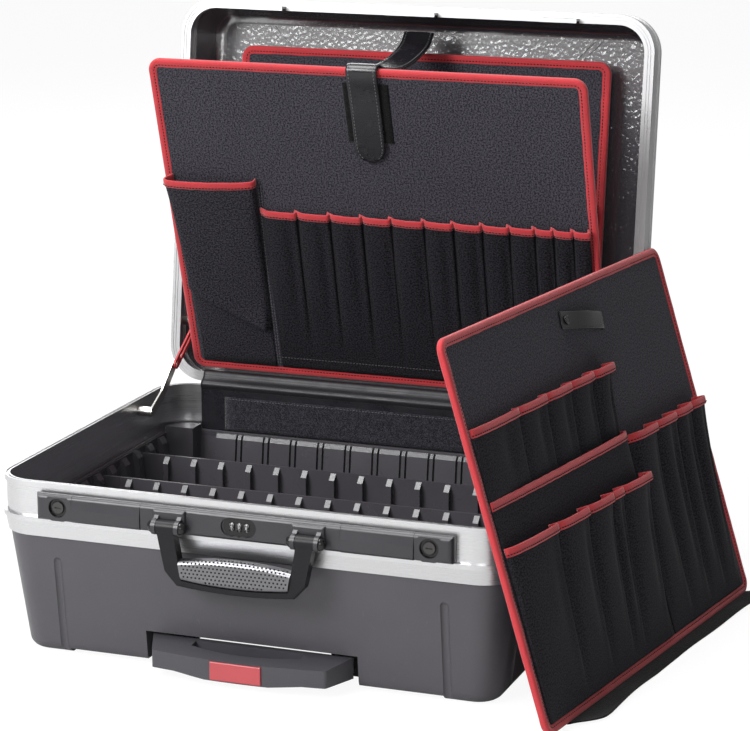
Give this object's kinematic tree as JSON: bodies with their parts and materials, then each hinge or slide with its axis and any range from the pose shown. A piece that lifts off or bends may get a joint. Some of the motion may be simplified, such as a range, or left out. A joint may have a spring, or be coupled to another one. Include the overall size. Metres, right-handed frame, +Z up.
{
  "type": "hard tool case",
  "caption": "Open hard-shell tool case on wheels with aluminium rim frames, lock strip, ribbed tray, pull-out trolley grip and pocketed tool boards.",
  "frame": {"origin": "on the floor under the middle of the whole object's box, with the lid open and the loose board leaning beside the case", "axes": "+X across the case to the loose board's side, +Y from the front with the locks to the hinges, +Z up"},
  "size_m": [0.7028, 0.5976, 0.6143],
  "materials": {
    "black_fabric": "woven black",
    "black_plastic": "satin black",
    "black_shell": "pebbled moulded shell",
    "black_vinyl": "grained vinyl",
    "dial_plastic": "black with white digits",
    "dotted_metal": "dotted bright grip",
    "frame_aluminium": "satin anodised",
    "hook_loop": "looped pile",
    "red_binding": "red webbing",
    "red_plastic": "glossy red",
    "steel": "bright steel",
    "strip_plastic": "satin dark grey moulding",
    "tray_plastic": "fine textured black plastic",
    "wheel_tyre": "black tyre"
  },
  "bodies": {
    "lower_case": {"base_shell": "black_shell", "base_frame": "frame_aluminium", "base_tray": "tray_plastic", "rear_wall_panel": "black_vinyl", "rear_patch": "hook_loop", "hinge_cover": "black_vinyl", "hinge_base_leaves": "steel", "pins_and_axles": "steel", "lock_rail": "strip_plastic", "lock_caps": "strip_plastic", "handle_bolts": "black_plastic", "trolley_outer_tubes": "frame_aluminium", "trolley_clamps": "black_plastic", "stay_base_brackets": "steel"},
    "lid": {"lid_frame": "frame_aluminium", "lid_shell": "black_shell", "lid_catches": "steel", "hinge_lid_leaves": "steel", "stay_lid_brackets": "steel", "board_hinges": "black_vinyl", "retaining_strap": "black_vinyl"},
    "front_board": {"front_board_panel": "black_vinyl", "front_board_binding": "red_binding", "front_board_pockets": "black_fabric", "front_board_trims": "red_binding", "front_board_holster": "black_vinyl", "front_board_patch": "hook_loop"},
    "rear_board": {"rear_board_panel": "black_vinyl", "rear_board_binding": "red_binding", "rear_board_pockets": "black_fabric", "rear_board_trims": "red_binding"},
    "loose_board": {"loose_board_panel": "black_vinyl", "loose_board_binding": "red_binding", "loose_board_upper_pockets": "black_fabric", "loose_board_lower_pockets": "black_fabric", "loose_board_side_pockets": "black_fabric", "loose_board_trims": "red_binding", "loose_board_loop": "black_vinyl", "loose_board_flap": "black_fabric"},
    "carry_handle": {"carry_handle": "black_plastic", "handle_grip": "dotted_metal"},
    "trolley_middle": {"trolley_middle_tubes": "frame_aluminium"},
    "trolley_inner": {"trolley_inner_tubes": "frame_aluminium", "trolley_grip": "black_plastic"},
    "trolley_button": {"trolley_button": "red_plastic"},
    "latch_lever_left": {"latch_lever_left": "strip_plastic"},
    "latch_lever_right": {"latch_lever_right": "strip_plastic"},
    "key_cylinder_left": {"key_cylinder_left": "steel"},
    "key_cylinder_right": {"key_cylinder_right": "steel"},
    "dial_left": {"dial_left": "dial_plastic"},
    "dial_middle": {"dial_middle": "dial_plastic"},
    "dial_right": {"dial_right": "dial_plastic"},
    "wheel_left": {"wheel_left": "wheel_tyre"},
    "wheel_right": {"wheel_right": "wheel_tyre"},
    "stay_lower_left": {"stay_lower_left": "steel"},
    "stay_lower_right": {"stay_lower_right": "steel"},
    "stay_upper_left": {"stay_upper_left": "red_plastic"},
    "stay_upper_right": {"stay_upper_right": "red_plastic"},
    "divider_front": {"divider_front": "tray_plastic"},
    "divider_rear": {"divider_rear": "tray_plastic"}
  },
  "joints": [
    {"name": "lid_hinge", "type": "hinge", "parent": "lower_case", "child": "lid", "pos_m": [-0.07636, 0.17806, 0.1842], "axis": [-1, 0, 0], "range_deg": [-97.2, 0], "deforming": ["hinge_cover", "retaining_strap"]},
    {"name": "front_board_tilt", "type": "hinge", "parent": "lid", "child": "front_board", "pos_m": [-0.07636, 0.18963, 0.20239], "axis": [-1, 0, 0], "range_deg": [0, 24.7], "deforming": ["retaining_strap"]},
    {"name": "rear_board_tilt", "type": "hinge", "parent": "lid", "child": "rear_board", "pos_m": [-0.07636, 0.22435, 0.19801], "axis": [1, 0, 0], "range_deg": [0, 8]},
    {"name": "loose_board_carry", "type": "slide", "parent": "lower_case", "child": "loose_board", "axis": [0.7071, -0.7071, 0], "range_m": [0, 0.4005]},
    {"name": "stay_lower_left_pivot", "type": "hinge", "parent": "lower_case", "child": "stay_lower_left", "pos_m": [-0.32736, 0.08406, 0.171], "axis": [-1, 0, 0], "range_deg": [0, 53]},
    {"name": "stay_upper_left_pivot", "type": "hinge", "parent": "lid", "child": "stay_upper_left", "pos_m": [-0.32736, 0.20522, 0.24921], "axis": [-1, 0, 0], "range_deg": [0, 1.2]},
    {"name": "latch_left_pivot", "type": "hinge", "parent": "lower_case", "child": "latch_lever_left", "pos_m": [-0.22036, -0.25934, 0.1699], "axis": [-1, 0, 0], "range_deg": [0, 75]},
    {"name": "key_left_turn", "type": "hinge", "parent": "lower_case", "child": "key_cylinder_left", "pos_m": [-0.27136, -0.26494, 0.162], "axis": [0, -1, 0], "range_deg": [0, 90]},
    {"name": "wheel_left_axle", "type": "hinge", "parent": "lower_case", "child": "wheel_left", "pos_m": [-0.30536, 0.14606, 0.03], "axis": [1, 0, 0], "continuous": true},
    {"name": "stay_lower_right_pivot", "type": "hinge", "parent": "lower_case", "child": "stay_lower_right", "pos_m": [0.17464, 0.08406, 0.171], "axis": [-1, 0, 0], "range_deg": [0, 53]},
    {"name": "stay_upper_right_pivot", "type": "hinge", "parent": "lid", "child": "stay_upper_right", "pos_m": [0.17464, 0.20522, 0.24921], "axis": [-1, 0, 0], "range_deg": [0, 1.2]},
    {"name": "latch_right_pivot", "type": "hinge", "parent": "lower_case", "child": "latch_lever_right", "pos_m": [0.06764, -0.25934, 0.1699], "axis": [-1, 0, 0], "range_deg": [0, 75]},
    {"name": "key_right_turn", "type": "hinge", "parent": "lower_case", "child": "key_cylinder_right", "pos_m": [0.11864, -0.26494, 0.162], "axis": [0, -1, 0], "range_deg": [0, 90]},
    {"name": "wheel_right_axle", "type": "hinge", "parent": "lower_case", "child": "wheel_right", "pos_m": [0.15264, 0.14606, 0.03], "axis": [1, 0, 0], "continuous": true},
    {"name": "dial_left_turn", "type": "hinge", "parent": "lower_case", "child": "dial_left", "pos_m": [-0.08406, -0.25934, 0.162], "axis": [1, 0, 0], "continuous": true},
    {"name": "dial_middle_turn", "type": "hinge", "parent": "lower_case", "child": "dial_middle", "pos_m": [-0.07636, -0.25934, 0.162], "axis": [1, 0, 0], "continuous": true},
    {"name": "dial_right_turn", "type": "hinge", "parent": "lower_case", "child": "dial_right", "pos_m": [-0.06866, -0.25934, 0.162], "axis": [1, 0, 0], "continuous": true},
    {"name": "carry_handle_pivot", "type": "hinge", "parent": "lower_case", "child": "carry_handle", "pos_m": [-0.07636, -0.27194, 0.157], "axis": [-1, 0, 0], "range_deg": [0, 95]},
    {"name": "trolley_middle_slide", "type": "slide", "parent": "lower_case", "child": "trolley_middle", "axis": [0, -1, 0], "range_m": [0, 0.3]},
    {"name": "trolley_inner_slide", "type": "slide", "parent": "trolley_middle", "child": "trolley_inner", "axis": [0, -1, 0], "range_m": [0, 0.3]},
    {"name": "trolley_button_press", "type": "slide", "parent": "trolley_inner", "child": "trolley_button", "axis": [0, 1, 0], "range_m": [0, 0.004], "stiffness_N_per_m": 300},
    {"name": "divider_front_lift", "type": "slide", "parent": "lower_case", "child": "divider_front", "axis": [0, 0, 1], "range_m": [0, 0.1]},
    {"name": "divider_rear_lift", "type": "slide", "parent": "lower_case", "child": "divider_rear", "axis": [0, 0, 1], "range_m": [0, 0.1]}
  ],
  "couplings": [
    {"joint": "front_board_tilt", "follows": "lid_hinge", "ratio": -0.25412},
    {"joint": "loose_board_carry", "follows": "lid_hinge", "m_per_rad": -0.23579},
    {"joint": "stay_lower_left_pivot", "follows": "lid_hinge", "ratio": -0.54356},
    {"joint": "stay_upper_left_pivot", "follows": "lid_hinge", "ratio": -0.010966},
    {"joint": "stay_lower_right_pivot", "follows": "lid_hinge", "ratio": -0.54356},
    {"joint": "stay_upper_right_pivot", "follows": "lid_hinge", "ratio": -0.010966}
  ]
}
